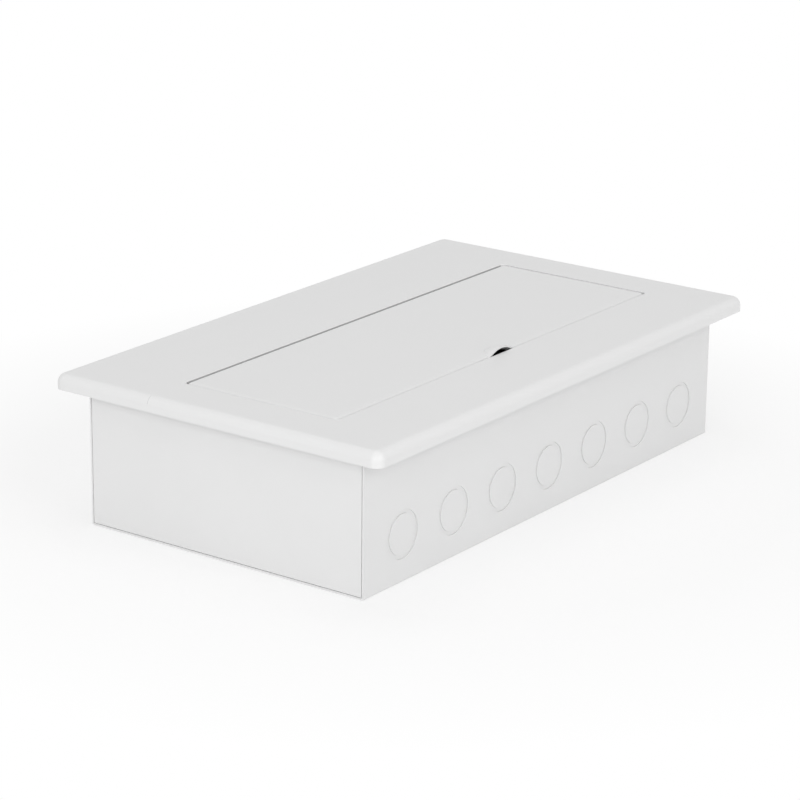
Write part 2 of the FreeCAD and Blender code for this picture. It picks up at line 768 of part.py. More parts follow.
def lift_dome(name, grown):
    """The part of a low dome that stands over the door's front edge."""
    half, height = S.lift_half_width, S.lift_height
    arc = (half * half + height * height) / (2 * height)
    sink = arc - height
    shrink = (1 - (sink.value / arc.value) ** 2) ** 0.5
    dome = DOCUMENT.addObject("Part::Ellipsoid", name + "_dome")
    bind(dome, "Radius1", arc + grown)
    bind(dome, "Radius2", arc + grown)
    bind(dome, "Radius3", S.lift_reach / shrink + grown)
    dome.Angle1 = -90
    place(dome, 0, DOOR_FRONT_Y, FACE - sink)
    room = DOCUMENT.addObject("Part::Box", name + "_room")
    bind(room, "Length", 4 * half)
    bind(room, "Width", 3 * S.lift_reach)
    bind(room, "Height", 4 * height)
    return dome, room


def make_door():
    """The leaf with a notch at the middle of its front edge, and the raised lift that fills the notch."""
    leaf = make_door_leaf()
    half_notch = S.lift_half_width + S.lift_margin
    notch = DOCUMENT.addObject("Part::Box", "lift_notch")
    bind(notch, "Length", 2 * half_notch)
    bind(notch, "Width", S.lift_reach + S.lift_margin + 1)
    bind(notch, "Height", S.door_thick + 2)
    place(notch, -half_notch, DOOR_FRONT_Y - 1, FACE - S.door_thick - 1)
    outer, outer_room = lift_dome("lift_outside", S.lift_wall)
    place(outer_room, -2 * S.lift_half_width, DOOR_FRONT_Y, FACE - S.door_plate)
    hood = DOCUMENT.addObject("Part::MultiCommon", "lift_hood")
    hood.Shapes = [outer, outer_room]
    inner, inner_room = lift_dome("lift_inside", Size(0.0, "(0.0)"))
    place(inner_room, -2 * S.lift_half_width, DOOR_FRONT_Y - 1, FACE - S.door_thick - 0.5)
    mouth = DOCUMENT.addObject("Part::MultiCommon", "lift_mouth")
    mouth.Shapes = [inner, inner_room]
    filling = DOCUMENT.addObject("Part::MultiCommon", "lift_filling")
    filling.Shapes = [leaf, notch]
    raised = DOCUMENT.addObject("Part::MultiFuse", "lift_raised")
    raised.Shapes = [filling, hood]
    lift = DOCUMENT.addObject("Part::Cut", "door_lift")
    lift.Base = raised
    lift.Tool = mouth
    door = DOCUMENT.addObject("Part::Cut", "door")
    door.Base = leaf
    door.Tool = notch
    DOCUMENT.recompute()
    keep(door, "door")
    keep(lift, "door_lift")


def make_hinge_pins():
    start = DOOR_LONG / 2 - S.hinge_pin_grip + S.hinge_pin_length
    body = new_body("door_hinge_pins", -start, HINGE_Y, HINGE_Z)
    end = new_sketch(body, "YZ_Plane")
    circle(end, 0, 0, S.hinge_pin / 2)
    pad(body, end, S.hinge_pin_length)
    repeat(body, (("X_Axis", 2 * start - S.hinge_pin_length, 2),))


def block_pair(name, z, tall):
    """The two magnets, or the two steel plates that they hold."""
    body = new_body(name, -S.catch_spacing / 2, CATCH_Y, z)
    base = new_sketch(body, "XY_Plane")
    centred_rectangle(base, S.catch_long, S.catch_wide)
    pad(body, base, tall)
    repeat(body, (("X_Axis", S.catch_spacing, 2),))


def make_cover_fixings():
    bolts = corners_of(2 * COVER_BOLT_X, S.cover_bolt_spacing)
    first_y = DOOR_SHIFT - S.cover_bolt_spacing / 2
    screw("cover_screws", -COVER_BOLT_X, first_y, LEDGE_TOP, bolts, 4, 12, 8, 2.4)
    nut("cover_nuts", -COVER_BOLT_X, first_y, LEDGE_UNDER - S.bracket_sheet - 3.2, bolts, 7, 4, 3.2)
    feet = corners_of(2 * BRACKET_BOLT_X, S.bracket_bolt_spacing)
    first_y = DOOR_SHIFT - S.bracket_bolt_spacing / 2
    low = S.base_sheet
    stud("bracket_studs", -BRACKET_BOLT_X, first_y, low, feet, 4, 9)
    nut("bracket_nuts", -BRACKET_BOLT_X, first_y, low + S.bracket_sheet, feet, 7, 4, 3.2)


# Mounting plate and what it carries


def make_mounting_plate():
    body = new_body("mounting_plate", 0, 0, PLATE_UNDER)
    flat = new_sketch(body, "XY_Plane")
    centred_rectangle(flat, PLATE_LONG, PLATE_WIDE)
    pad(body, flat, S.plate_sheet)
    round_edges(body, upright_at(PLATE_LONG / 2, PLATE_WIDE / 2), 5)
    holes = new_sketch(body, "XY_Plane", S.plate_sheet)
    for side in (-1, 1):
        for end in (-1, 1):
            circle(holes, PLATE_BOLT_LONG / 2 * side, PLATE_BOLT_WIDE / 2 * end, S.plate_hole / 2)
    pocket(body, holes, S.plate_sheet)
    slots = new_sketch(body, "XY_Plane", S.plate_sheet)
    first = -S.knockout_pitch * 2
    for end in (-1, 1):
        for step in (-1, 1):
            y = (PLATE_WIDE / 2 - 18) * end + 4 * step
            centred_rectangle(slots, 7, 2.5, first + S.knockout_pitch / 2, y)
    cut = pocket(body, slots, S.plate_sheet)
    repeat(body, (("X_Axis", S.knockout_pitch * 3, 4),), (cut,))


def make_plate_fixings():
    bolts = corners_of(PLATE_BOLT_LONG, PLATE_BOLT_WIDE)
    x, y = -PLATE_BOLT_LONG / 2, -PLATE_BOLT_WIDE / 2
    stud("plate_studs", x, y, S.base_sheet, bolts, 5, S.plate_lift + 9, 9, S.plate_lift)
    washer("plate_washers", x, y, PLATE_TOP, bolts, 10, 5, 1)
    nut("plate_nuts", x, y, PLATE_TOP + 1, bolts, 8, 5, 4)


def make_adapter_panel():
    body = new_body("adapter_panel")
    profile = new_sketch(body, "YZ_Plane")
    sheet = S.bracket_sheet
    front, back = PANEL_PLACE, PANEL_BACK_Y
    outline(profile, (
        (front, PLATE_TOP), (front + S.panel_foot, PLATE_TOP), (front + S.panel_foot, PLATE_TOP + sheet),
        (back, PLATE_TOP + sheet), (back, PLATE_TOP + S.panel_tall), (front, PLATE_TOP + S.panel_tall),
    ))
    pad(body, profile, S.panel_long, both_ways=True)
    window = new_sketch(body, "XZ_Plane", -front)
    centred_rectangle(window, S.adapter_wide + 0.2, S.adapter_tall + 0.2, ADAPTER_FIRST_X, ADAPTER_Z)
    cut = pocket(body, window, sheet)
    span = S.adapter_pitch * (ADAPTERS - 1)
    repeat(body, (("X_Axis", span, ADAPTERS),), (cut,))
    holes = new_sketch(body, "XY_Plane", PLATE_TOP + sheet)
    for side in (-1, 0, 1):
        circle(holes, S.panel_bolt_spacing * side, front + S.panel_foot * 0.6, S.screw_hole / 2)
    pocket(body, holes, sheet)
    screw("panel_screws", -S.panel_bolt_spacing, front + S.panel_foot * 0.6, PLATE_TOP + sheet,
          [(("X_Axis", 2 * S.panel_bolt_spacing, 3),)], 3, sheet, 6, 2)


def adapter_row(body):
    repeat(body, (("X_Axis", S.adapter_pitch * (ADAPTERS - 1), ADAPTERS),))


def make_adapters():
    """Single square adapters, each with a flange in front of the panel and a clip behind it."""
    body = new_body("adapters", ADAPTER_FIRST_X, PANEL_PLACE, ADAPTER_Z)
    long, wide, tall = S.adapter_long, S.adapter_wide, S.adapter_tall
    section = new_sketch(body, "XZ_Plane", long / 2)
    centred_rectangle(section, wide, tall)
    pad(body, section, long, backwards=True)
    flange = new_sketch(body, "XZ_Plane")
    centred_rectangle(flange, wide, S.adapter_flange)
    pad(body, flange, S.adapter_flange_thick)
    for height, backwards in ((long / 2, False), (-long / 2, True)):
        port = new_sketch(body, "XZ_Plane", height)
        centred_rectangle(port, wide - 2 * S.adapter_side_wall, tall - 2 * S.adapter_end_wall)
        pocket(body, port, (long - S.adapter_web) / 2, backwards=backwards)
    holes = new_sketch(body, "XZ_Plane", S.adapter_flange_thick)
    for end in (-1, 1):
        circle(holes, 0, S.adapter_flange * 0.4 * end, 1.1)
    pocket(body, holes, S.adapter_flange_thick)
    adapter_row(body)

    clip = new_body("adapter_clips", ADAPTER_FIRST_X, PANEL_BACK_Y, ADAPTER_Z)
    section = new_sketch(clip, "XZ_Plane")
    centred_rectangle(section, wide + 2 * S.clip_sheet, tall + 2 * S.clip_sheet)
    centred_rectangle(section, wide, tall)
    pad(clip, section, S.clip_deep, backwards=True)
    adapter_row(clip)


def make_dust_caps(name, face_y, outwards):
    """Push-in caps that close one side of the row of adapters."""
    body = new_body(name, ADAPTER_FIRST_X, face_y, ADAPTER_Z)
    wide, tall = S.adapter_wide, S.adapter_tall
    lid = new_sketch(body, "XZ_Plane")
    centred_rectangle(lid, wide - 0.4, tall - 0.4)
    pad(body, lid, S.cap_lid, backwards=not outwards)
    plug = new_sketch(body, "XZ_Plane")
    centred_rectangle(plug, wide - 2.0, tall - 3.4)
    pad(body, plug, S.cap_plug, backwards=outwards)
    grip = new_sketch(body, "XZ_Plane")
    centred_rectangle(grip, wide - 4, S.cap_grip_thick)
    pad(body, grip, S.cap_grip, backwards=not outwards)
    adapter_row(body)


def make_tray_hinge():
    body = new_body("tray_hinge_bracket")
    foot = new_sketch(body, "XY_Plane", PLATE_TOP)
    outer = EAR_X + S.bracket_sheet
    rectangle(foot, -outer, outer, TRAY_HINGE_PLACE - 12, TRAY_HINGE_PLACE + 4)
    pad(body, foot, S.bracket_sheet)
    for side in (-1, 1):
        ear = new_sketch(body, "YZ_Plane", EAR_X * side)
        rectangle(ear, TRAY_HINGE_PLACE - 6, TRAY_HINGE_PLACE + 4, PLATE_TOP, TRAY_HINGE_Z + 5)
        pad(body, ear, S.bracket_sheet, backwards=side < 0)
    bore = new_sketch(body, "YZ_Plane")
    circle(bore, TRAY_HINGE_PLACE, TRAY_HINGE_Z, S.tray_hinge_pin / 2 + 0.01)
    pocket(body, bore, 2 * outer + 1, both_ways=True)
    holes = new_sketch(body, "XY_Plane", PLATE_TOP + S.bracket_sheet)
    for side in (-1, 1):
        circle(holes, 50 * size_of(side), TRAY_HINGE_PLACE - 7, S.screw_hole / 2)
    pocket(body, holes, S.bracket_sheet)
    screw("tray_bracket_screws", -50, TRAY_HINGE_PLACE - 7, PLATE_TOP + S.bracket_sheet,
          pair_of(100), 3, S.bracket_sheet, 6, 1.6)

    pin = new_body("tray_hinge_pin", -outer - 1, TRAY_HINGE_PLACE, TRAY_HINGE_Z)
    end = new_sketch(pin, "YZ_Plane")
    circle(end, 0, 0, S.tray_hinge_pin / 2)
    pad(pin, end, 2 * outer + 2)

    rests = new_body("tray_rests", -60, TRAY_HINGE_PLACE - S.tray_wide + 10, PLATE_TOP)
    block = new_sketch(rests, "XY_Plane")
    centred_rectangle(block, 14, 10)
    pad(rests, block, S.tray_hinge_rise - TRAY_DROP - S.tray_rest_gap)
    repeat(rests, (("X_Axis", 120, 2),))


def make_splice_tray():
    """Open tray that tilts up on its rear edge: floor, walls, hinge barrel and two coiling hubs."""
    body = new_body("splice_tray", 0, TRAY_HINGE_PLACE, TRAY_HINGE_Z)
    half, deep, floor = S.tray_long / 2, S.tray_wide, S.tray_floor
    wall = S.tray_floor
    base = new_sketch(body, "XY_Plane", -TRAY_DROP)
    rectangle(base, -half, half, -deep, 0)
    pad(body, base, floor)
    round_edges(body, lambda edge: is_upright(edge) and edge.CenterOfMass.y < -1, 6)
    barrel = new_sketch(body, "YZ_Plane")
    circle(barrel, 0, 0, TRAY_DROP)
    pad(body, barrel, S.tray_long, both_ways=True)
    walls = new_sketch(body, "XY_Plane", -TRAY_DROP)
    rectangle(walls, 6 - half, half - 6, -deep, wall - deep)
    rectangle(walls, 6 - half, half - 6, -6, wall - 6)
    for side in (-1, 1):
        inner, outer = (half - wall) * side, half * side
        rectangle(walls, inner if side > 0 else outer, outer if side > 0 else inner, 6 - deep, -16)
    pad(body, walls, S.tray_tall)
    hubs = new_sketch(body, "XY_Plane", -TRAY_DROP)
    for side in (-1, 1):
        centre = S.tray_hub_spacing / 2 * side
        circle(hubs, centre, -deep / 2, S.tray_hub)
        circle(hubs, centre, -deep / 2, S.tray_hub - wall)
    pad(body, hubs, S.tray_tall - 1)
    for side in (-1, 1):
        across = 2 * (S.tray_hub + S.hub_arm_overhang)
        for long, wide in ((across, S.hub_arm), (S.hub_arm, across)):
            arms = new_sketch(body, "XY_Plane", TRAY_RIM - 1)
            centred_rectangle(arms, long, wide, S.tray_hub_spacing / 2 * side, -deep / 2)
            pad(body, arms, 1, backwards=True)
    bore = new_sketch(body, "YZ_Plane")
    circle(bore, 0, 0, S.tray_hinge_pin / 2 + S.pin_clearance)
    pocket(body, bore, S.tray_long + 1, both_ways=True)


def make_tray_fittings():
    combs = new_body("splice_combs", -20, TRAY_HINGE_PLACE - S.tray_wide + S.tray_floor + 9.5,
                     TRAY_HINGE_Z - TRAY_DROP + S.tray_floor)
    block = new_sketch(combs, "XY_Plane")
    centred_rectangle(block, 9, 17)
    pad(combs, block, 5.5)
    grooves = new_sketch(combs, "YZ_Plane")
    for step in (-1.5, -0.5, 0.5, 1.5):
        rectangle(grooves, 4 * size_of(step) - 1.3, 4 * size_of(step) + 1.3, 1.5, 6)
    pocket(combs, grooves, 10, both_ways=True)
    repeat(combs, (("X_Axis", 40, 2),))

    lid = new_body("tray_lid", 0, TRAY_HINGE_PLACE, TRAY_HINGE_Z + TRAY_RIM)
    half, deep = S.tray_long / 2, S.tray_wide
    flat = new_sketch(lid, "XY_Plane")
    rectangle(flat, -half, half, -deep, -4)
    pad(lid, flat, S.tray_lid)
    round_edges(lid, is_upright, 6)
    clips = new_sketch(lid, "XZ_Plane", deep)
    for side in (-1, 1):
        centred_rectangle(clips, 16, 6 + S.tray_lid, 45 * size_of(side), S.tray_lid - (6 + S.tray_lid) / 2)
    pad(lid, clips, 1.2)


def make_slack_spools():
    body = new_body("slack_spools", -SPOOL_SPACING / 2, S.spool_place, PLATE_TOP)
    profile = new_sketch(body, "XZ_Plane")
    wall, lip, bore = S.spool_wall, S.spool_flange - S.spool_lip, S.bolt_hole / 2
    radius, flange, tall = S.spool_radius, S.spool_flange, S.spool_tall
    outline(profile, (
        (bore, 0), (flange, 0), (flange, wall), (radius, wall), (radius, tall - wall), (lip, tall - wall),
        (lip, tall), (radius - wall, tall), (radius - wall, 2 * wall), (bore, 2 * wall),
    ))
    revolve(body, profile)
    repeat(body, (("X_Axis", SPOOL_SPACING, 2),))
    screw("spool_screws", -SPOOL_SPACING / 2, S.spool_place, PLATE_TOP + 2 * wall,
          pair_of(SPOOL_SPACING), 4, 2 * wall, 8, 2.4)


def make_cable_saddles():
    """Omega-shaped saddles that hold incoming cables down."""
    body = new_body("cable_saddles", -SADDLE_SPACING_LONG / 2, -SADDLE_SPACING_WIDE / 2, PLATE_TOP)
    bore, sheet, wide = S.saddle_bore, S.saddle_sheet, S.saddle_wide
    rise = bore - 1
    feet = new_sketch(body, "XZ_Plane")
    rectangle(feet, -bore - S.saddle_foot, bore + S.saddle_foot, 0, sheet)
    pad(body, feet, wide, both_ways=True)
    legs = new_sketch(body, "XZ_Plane")
    rectangle(legs, -bore - sheet, bore + sheet, 0, rise)
    pad(body, legs, wide, both_ways=True)
    arch = new_sketch(body, "XZ_Plane")
    circle(arch, 0, rise, bore + sheet)
    pad(body, arch, wide, both_ways=True)
    tunnel = new_sketch(body, "XZ_Plane")
    circle(tunnel, 0, rise, bore)
    pocket(body, tunnel, wide + 1, both_ways=True)
    opening = new_sketch(body, "XZ_Plane")
    rectangle(opening, -bore, bore, -0.5, rise)
    pocket(body, opening, wide + 1, both_ways=True)
    under = new_sketch(body, "XZ_Plane")
    rectangle(under, -bore - S.saddle_foot, bore + S.saddle_foot, -bore, 0)
    pocket(body, under, wide + 1, both_ways=True)
    holes = new_sketch(body, "XY_Plane", sheet)
    for side in (-1, 1):
        circle(holes, (bore + S.saddle_bolt_out) * side, 0, S.screw_hole / 2)
    pocket(body, holes, sheet)
    corners = corners_of(SADDLE_SPACING_LONG, SADDLE_SPACING_WIDE)
    for steps in corners:
        repeat(body, steps)
    out = bore + S.saddle_bolt_out
    screw("saddle_screws", -SADDLE_SPACING_LONG / 2 - out, -SADDLE_SPACING_WIDE / 2, PLATE_TOP + sheet,
          pair_of(2 * out) + corners, 3, sheet, 5.6, 1.8)


def make_strength_posts():
    body = new_body("strength_posts", -POST_SPACING / 2, POST_PLACE, PLATE_TOP)
    section = new_sketch(body, "XY_Plane")
    hexagon(section, S.post_across)
    pad(body, section, S.post_tall)
    hole = new_sketch(body, "XZ_Plane")
    circle(hole, 0, S.post_hole_height, S.screw_hole / 2)
    pocket(body, hole, 12, both_ways=True)
    thread = new_sketch(body, "XY_Plane", S.post_tall)
    circle(thread, 0, 0, 1.5 + S.thread_clearance)
    pocket(body, thread, 4)
    repeat(body, (("X_Axis", POST_SPACING, 2),))
    screw("strength_screws", -POST_SPACING / 2, POST_PLACE, PLATE_TOP + S.post_tall,
          pair_of(POST_SPACING), 3, 3.5, 6, 2.2)


def make_tie_anchors():
    """Saddle blocks that a cable tie threads through."""
    body = new_body("tie_anchors", -S.knockout_pitch, -SADDLE_SPACING_WIDE / 2, PLATE_TOP)
    base = new_sketch(body, "XY_Plane")
    centred_rectangle(base, S.anchor_long, S.anchor_wide)
    pad(body, base, S.anchor_base)
    bridge = new_sketch(body, "XY_Plane")
    centred_rectangle(bridge, S.anchor_bridge, S.anchor_wide)
    pad(body, bridge, S.anchor_tall)
    tunnel = new_sketch(body, "XZ_Plane")
    centred_rectangle(tunnel, S.tie_slot_wide, S.tie_slot_tall, 0, S.anchor_tall / 2)
    pocket(body, tunnel, 20, both_ways=True)
    repeat(body, (("X_Axis", 2 * S.knockout_pitch, 3),))


def make_earth_point():
    x, y = -EARTH_X, -EARTH_Y
    stud("earth_stud", x, y, S.base_sheet, [], 6, 17)
    level = S.base_sheet
    stack = (("earth_washer_lower", "washer", 1.2), ("earth_nut_lower", "nut", 5),
             ("earth_washer_upper", "washer", 1.2), ("earth_nut_upper", "nut", 5))
    for name, kind, thick in stack:
        if kind == "washer":
            washer(name, x, y, level, [], 12, 6, thick)
        else:
            nut(name, x, y, level, [], 10, 6, thick)
        level = level + thick


def build():
    make_base_box()
    make_end_frame("end_frame_left", -1)
    make_end_frame("end_frame_right", 1)
    make_end_plate("end_plate_left", -1)
    make_end_plate("end_plate_right", 1)
    make_cover_bracket("cover_bracket_left", -1)
    make_cover_bracket("cover_bracket_right", 1)
    make_front_cover()
    make_door()
    make_hinge_pins()
    block_pair("catch_magnets", LEDGE_TOP - S.catch_seat, CATCH_TOP - LEDGE_TOP + S.catch_seat)
    block_pair("catch_plates", FACE - S.door_plate - S.catch_plate, S.catch_plate)
    make_cover_fixings()
    make_mounting_plate()
    make_plate_fixings()
    make_adapter_panel()
    make_adapters()
    make_dust_caps("front_dust_caps", PANEL_PLACE - S.adapter_long / 2, True)
    make_dust_caps("rear_dust_caps", PANEL_PLACE + S.adapter_long / 2, False)
    make_tray_hinge()
    make_splice_tray()
    make_tray_fittings()
    make_slack_spools()
    make_cable_saddles()
    make_strength_posts()
    make_tie_anchors()
    make_earth_point()


def check_and_write():
    DOCUMENT.recompute()
    for item in DOCUMENT.Objects:
        if "Invalid" in item.State or "Error" in item.State:
            raise RuntimeError(item.Name + " failed: " + ", ".join(item.State))
    for item in PARTS:
        if item.Shape.isNull() or not item.Shape.isValid() or not item.Shape.Solids:
            raise RuntimeError(item.Label + " has no valid solid")
    os.makedirs("parts", exist_ok=True)
    for item in PARTS:
        item.Shape.exportStep(os.path.join("parts", item.Label + ".step"))
        print("%-24s %2d solids %10.1f mm3" % (item.Label, len(item.Shape.Solids), item.Shape.Volume))


build()
check_and_write()
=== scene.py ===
import json
import math

import bmesh
import bpy
from mathutils import Matrix, Vector


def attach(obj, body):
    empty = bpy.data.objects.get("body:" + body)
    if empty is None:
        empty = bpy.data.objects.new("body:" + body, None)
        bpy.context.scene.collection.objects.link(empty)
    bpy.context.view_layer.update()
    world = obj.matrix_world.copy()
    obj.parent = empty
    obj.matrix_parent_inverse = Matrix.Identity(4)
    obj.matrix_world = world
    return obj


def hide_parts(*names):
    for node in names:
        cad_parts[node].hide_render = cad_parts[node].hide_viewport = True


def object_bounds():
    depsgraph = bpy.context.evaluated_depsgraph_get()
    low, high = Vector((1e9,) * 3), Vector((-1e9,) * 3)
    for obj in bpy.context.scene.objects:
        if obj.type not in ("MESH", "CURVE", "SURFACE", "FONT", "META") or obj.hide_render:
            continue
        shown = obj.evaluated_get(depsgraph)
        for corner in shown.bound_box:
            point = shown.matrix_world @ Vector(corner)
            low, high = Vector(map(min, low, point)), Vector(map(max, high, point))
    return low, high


# A flush-mounted fibre termination box: finishes for its pieces, smoothly shaded copies of
# the pieces that have curves, and a plain white studio. Lengths are in metres, or in
# millimetres where a name ends in _mm.

MM = 0.001
Y, Z = 1, 2

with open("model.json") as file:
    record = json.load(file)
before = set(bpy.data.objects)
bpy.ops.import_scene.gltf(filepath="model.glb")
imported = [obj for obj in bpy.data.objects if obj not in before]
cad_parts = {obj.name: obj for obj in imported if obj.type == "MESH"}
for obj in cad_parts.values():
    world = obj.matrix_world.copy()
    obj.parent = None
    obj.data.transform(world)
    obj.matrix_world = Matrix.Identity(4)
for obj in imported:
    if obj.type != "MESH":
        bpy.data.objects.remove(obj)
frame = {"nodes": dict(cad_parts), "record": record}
cad_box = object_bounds()

nodes = frame["nodes"]
record = frame["record"]
body_of = {
    node: body
    for body, members in record["behaviour"]["bodies"].items()
    for node in members
}
slot_of = {row["node"]: row["material_slot"] for row in record["subparts"]}


def furthest(node, axis):
    """How far a piece reaches along one axis."""
    piece = nodes[node]
    return max((piece.matrix_world @ vertex.co)[axis] for vertex in piece.data.vertices)


# ---------------------------------------------------------------- shader graphs

# The places of a colour Mix node's sockets, whose names it shares with its other kinds.
MIX_SHARE, MIX_FIRST, MIX_SECOND, MIX_RESULT = 0, 6, 7, 2

GRAIN_ROUGHNESS = 0.55


class Level:
    """A number that changes over a surface; arithmetic on it adds Math nodes."""

    def __init__(self, graph, socket):
        self.graph = graph
        self.socket = socket

    def worked(self, operation, first, second):
        node = self.graph.add("ShaderNodeMath", {"operation": operation}, {0: first, 1: second})
        return Level(self.graph, node.outputs["Value"])

    def __add__(self, other):
        return self.worked("ADD", self, other)

    def __sub__(self, other):
        return self.worked("SUBTRACT", self, other)

    def __rsub__(self, other):
        return self.worked("SUBTRACT", other, self)

    def __mul__(self, other):
        return self.worked("MULTIPLY", self, other)

    def __lt__(self, other):
        return self.worked("LESS_THAN", self, other)

    def __gt__(self, other):
        return self.worked("GREATER_THAN", self, other)

    __radd__ = __add__
    __rmul__ = __mul__


class Graph:
    """A node tree that is filled through one method."""

    def __init__(self, owner):
        owner.use_nodes = True
        self.tree = owner.node_tree
        self.tree.nodes.clear()

    def add(self, kind, settings=None, sockets=None):
        node = self.tree.nodes.new(kind)
        for key, value in (settings or {}).items():
            setattr(node, key, value)
        for key, value in (sockets or {}).items():
            self.feed(node.inputs[key], value)
        return node

    def feed(self, socket, value):
        """Link a level or a socket, or set a number, a vector or a colour."""
        if isinstance(value, Level):
            value = value.socket
        if isinstance(value, bpy.types.NodeSocket):
            self.tree.links.new(value, socket)
        elif socket.type == "RGBA":
            socket.default_value = (*value, 1)
        else:
            socket.default_value = value

    def shaders_mixed(self, share, first, second):
        """The second shader over the first, by its share."""
        node = self.add("ShaderNodeMixShader",
                        sockets={0: share, 1: first.outputs[0], 2: second.outputs[0]})
        return node.outputs[0]

    def seen_directly(self):
        """One for camera, mirror and see-through rays, nothing for rays that light the object."""
        rays = self.add("ShaderNodeLightPath").outputs
        return (Level(self, rays["Is Camera Ray"]) + Level(self, rays["Is Glossy Ray"])
                + Level(self, rays["Is Transmission Ray"]))


class Finish(Graph):
    """One material, with the few kinds of texture that the enclosure's finishes are made of."""

    def __init__(self, name):
        self.material = bpy.data.materials.new(name)
        super().__init__(self.material)
        self.place = self.add("ShaderNodeTexCoord").outputs["Object"]

    def stretched(self, squeeze):
        """Object coordinates squeezed so that a texture runs in lines along one axis."""
        node = self.add("ShaderNodeMapping", sockets={"Vector": self.place, "Scale": squeeze})
        return node.outputs["Vector"]

    def along(self, axis):
        """Distance from the enclosure's origin along one axis."""
        parts = self.add("ShaderNodeSeparateXYZ", sockets={"Vector": self.place})
        return Level(self, parts.outputs[axis])

    def grain(self, size_mm, detail=2.0, place=None):
        """Soft mottling whose lumps are about size_mm across."""
        node = self.add("ShaderNodeTexNoise",
                        sockets={"Vector": place or self.place, "Scale": 1 / (size_mm * MM),
                                 "Detail": detail, "Roughness": GRAIN_ROUGHNESS})
        return Level(self, node.outputs["Fac"])

    def flakes(self, size_mm):
        """A different level in each flat crystal of a galvanised coat."""
        node = self.add("ShaderNodeTexVoronoi", {"feature": "F1"},
                        {"Vector": self.place, "Scale": 1 / (size_mm * MM)})
        parts = self.add("ShaderNodeSeparateColor", sockets={"Color": node.outputs["Color"]})
        return Level(self, parts.outputs["Red"])

    def blended(self, first, second, share):
        """The second colour over the first, by its share."""
        node = self.add("ShaderNodeMix", {"data_type": "RGBA"},
                        {MIX_SHARE: share, MIX_FIRST: first, MIX_SECOND: second})
        return node.outputs[MIX_RESULT]

    def tinted(self, colour, darkest, lightest, share):
        """The colour between its darkest and its lightest tint."""
        return self.blended(brightened(colour, darkest), brightened(colour, lightest), share)

    def relief(self, height, depth_mm):
        node = self.add("ShaderNodeBump", sockets={"Height": height, "Distance": depth_mm * MM})
        return node.outputs["Normal"]

    def surface(self, **sockets):
        named = {key.replace("_", " "): value for key, value in sockets.items()}
        shader = self.add("ShaderNodeBsdfPrincipled", sockets=named)
        self.add("ShaderNodeOutputMaterial", sockets={"Surface": shader.outputs["BSDF"]})
        return self.material


def brightened(colour, factor):
    return tuple(min(1.0, part * factor) for part in colour)


def mingled(main, other, share):
    """Two levels worked into one, with a share of the other."""
    return main * (1 - share) + other * share


def between(level, low, high):
    """One where the level lies between the two values, nothing elsewhere."""
    return (level > low) * (level < high)


# ---------------------------------------------------------------- finishes

WHITE = (0.750, 0.750, 0.750)
# Painted shade: a near-black tone and its share, laid into the wall of the door's hinge gap where
# shadow falls.
GAP_SHADE_TONE = (0.035, 0.035, 0.035)
GAP_SHADE_SHARE = 0.35

# The cover's recess wall stands a gap beyond the door's hinge edge. Surfaces this near its
# plane are taken for the wall, apart from the soft corner at its top.
DOOR_GAP = 0.8 * MM
WALL_NEARNESS = 0.12 * MM
SOFT_CORNER = 0.35 * MM
WALL_DEPTH = 5 * MM
HINGE_WALL_Y = furthest("door", Y) + DOOR_GAP
WALL_TOP_Z = furthest("door", Z) - SOFT_CORNER
WALL_FOOT_Z = furthest("door", Z) - WALL_DEPTH


def hinge_gap_painted_shade(finish):
    """Painted shade on the recess wall beside the door's hinge edge, below its soft top corner,
    where the gap's shadow falls.
    """
    on_wall = between(finish.along(Y), HINGE_WALL_Y - WALL_NEARNESS, HINGE_WALL_Y + WALL_NEARNESS)
    in_gap = between(finish.along(Z), WALL_FOOT_Z, WALL_TOP_Z)
    return on_wall * in_gap * GAP_SHADE_SHARE


def powder_coat(name, colour):
    """Baked powder on steel: a fine orange peel and a faint unevenness in tone."""
    finish = Finish(name)
    peel = finish.grain(size_mm=1.1, detail=3.0)
    cloud = finish.grain(size_mm=70)
    speck = finish.grain(size_mm=0.35, detail=1.0)
    tone = finish.tinted(colour, darkest=0.975, lightest=1.015,
                         share=mingled(cloud, speck, share=0.2))
    roughness, cloud_roughness, peel_roughness, speck_height = 0.30, 0.08, 0.10, 0.3
    return finish.surface(
        Base_Color=tone,
        Roughness=cloud * cloud_roughness + peel * peel_roughness + roughness,
        Normal=finish.relief(peel + speck * speck_height, depth_mm=0.035), IOR=1.5)


def moulded(name, colour, roughness, grain_mm, depth_mm, spread=0.012, painted_shade=None):
    """A moulding with the fine spark texture of its tool and slow flow marks, and painted shade
    where a mask is given.
    """
    finish = Finish(name)
    spark = finish.grain(grain_mm)
    flow = finish.grain(size_mm=55, detail=2.5)
    tone = finish.tinted(colour, darkest=1 - spread, lightest=1 + spread, share=flow)
    # Painted shade: where the mask says, the colour is darkened towards the near-black gap tone.
    if painted_shade:
        tone = finish.blended(tone, GAP_SHADE_TONE, painted_shade(finish))
    spark_roughness, flow_roughness, usual_rise = 0.10, 0.05, 0.07
    return finish.surface(
        Base_Color=tone,
        Roughness=spark * spark_roughness + flow * flow_roughness + roughness - usual_rise,
        Normal=finish.relief(spark, depth_mm), IOR=1.47)


def galvanised(name, colour):
    """Zinc-dipped sheet: flat crystals of slightly different grey, with rolling lines."""
    finish = Finish(name)
    flake = finish.flakes(size_mm=7)
    line = finish.grain(size_mm=0.5, place=finish.stretched(squeeze=(0.03, 1, 1)))
    tone = finish.tinted(colour, darkest=0.84, lightest=1.10,
                         share=mingled(flake, line, share=0.25))
    roughness, flake_roughness, line_roughness = 0.26, 0.16, 0.08
    return finish.surface(
        Base_Color=tone, Metallic=1.0,
        Roughness=flake * flake_roughness + line * line_roughness + roughness,
        Normal=finish.relief(line, depth_mm=0.006))


